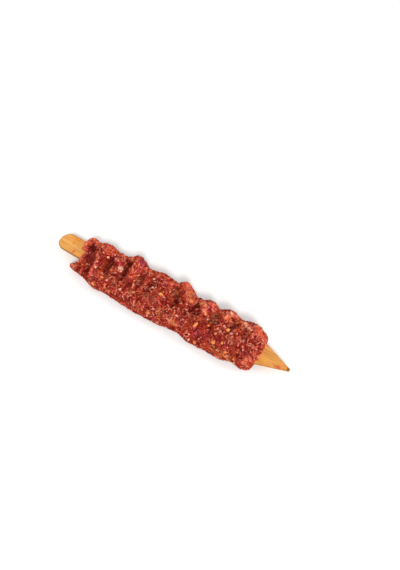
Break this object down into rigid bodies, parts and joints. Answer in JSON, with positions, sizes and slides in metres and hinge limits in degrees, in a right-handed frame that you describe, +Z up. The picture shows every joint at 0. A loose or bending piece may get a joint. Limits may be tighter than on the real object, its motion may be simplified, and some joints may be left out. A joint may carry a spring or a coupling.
{
  "type": "kofta skewer",
  "caption": "Bar of raw minced meat pressed by hand round a flat wooden skewer, with a ridge pinched along one side.",
  "frame": {"origin": "bottom centre of the skewer's box, on the plane that the meat rests on", "axes": "+X along the wooden skewer from its round butt to its point, +Y towards the pinched ridge of the meat, +Z up"},
  "size_m": [0.25, 0.0488, 0.0206],
  "materials": {
    "meat": "moist raw mince: brick red, coarse grained, with pale fat and orange pepper specks and small wet glints",
    "wood": "plain unvarnished pale wood with fine long grain, a few orange-brown blotches and a red juice stain near the point"
  },
  "bodies": {
    "root": {"meat": "meat", "stick": "wood"}
  },
  "joints": []
}
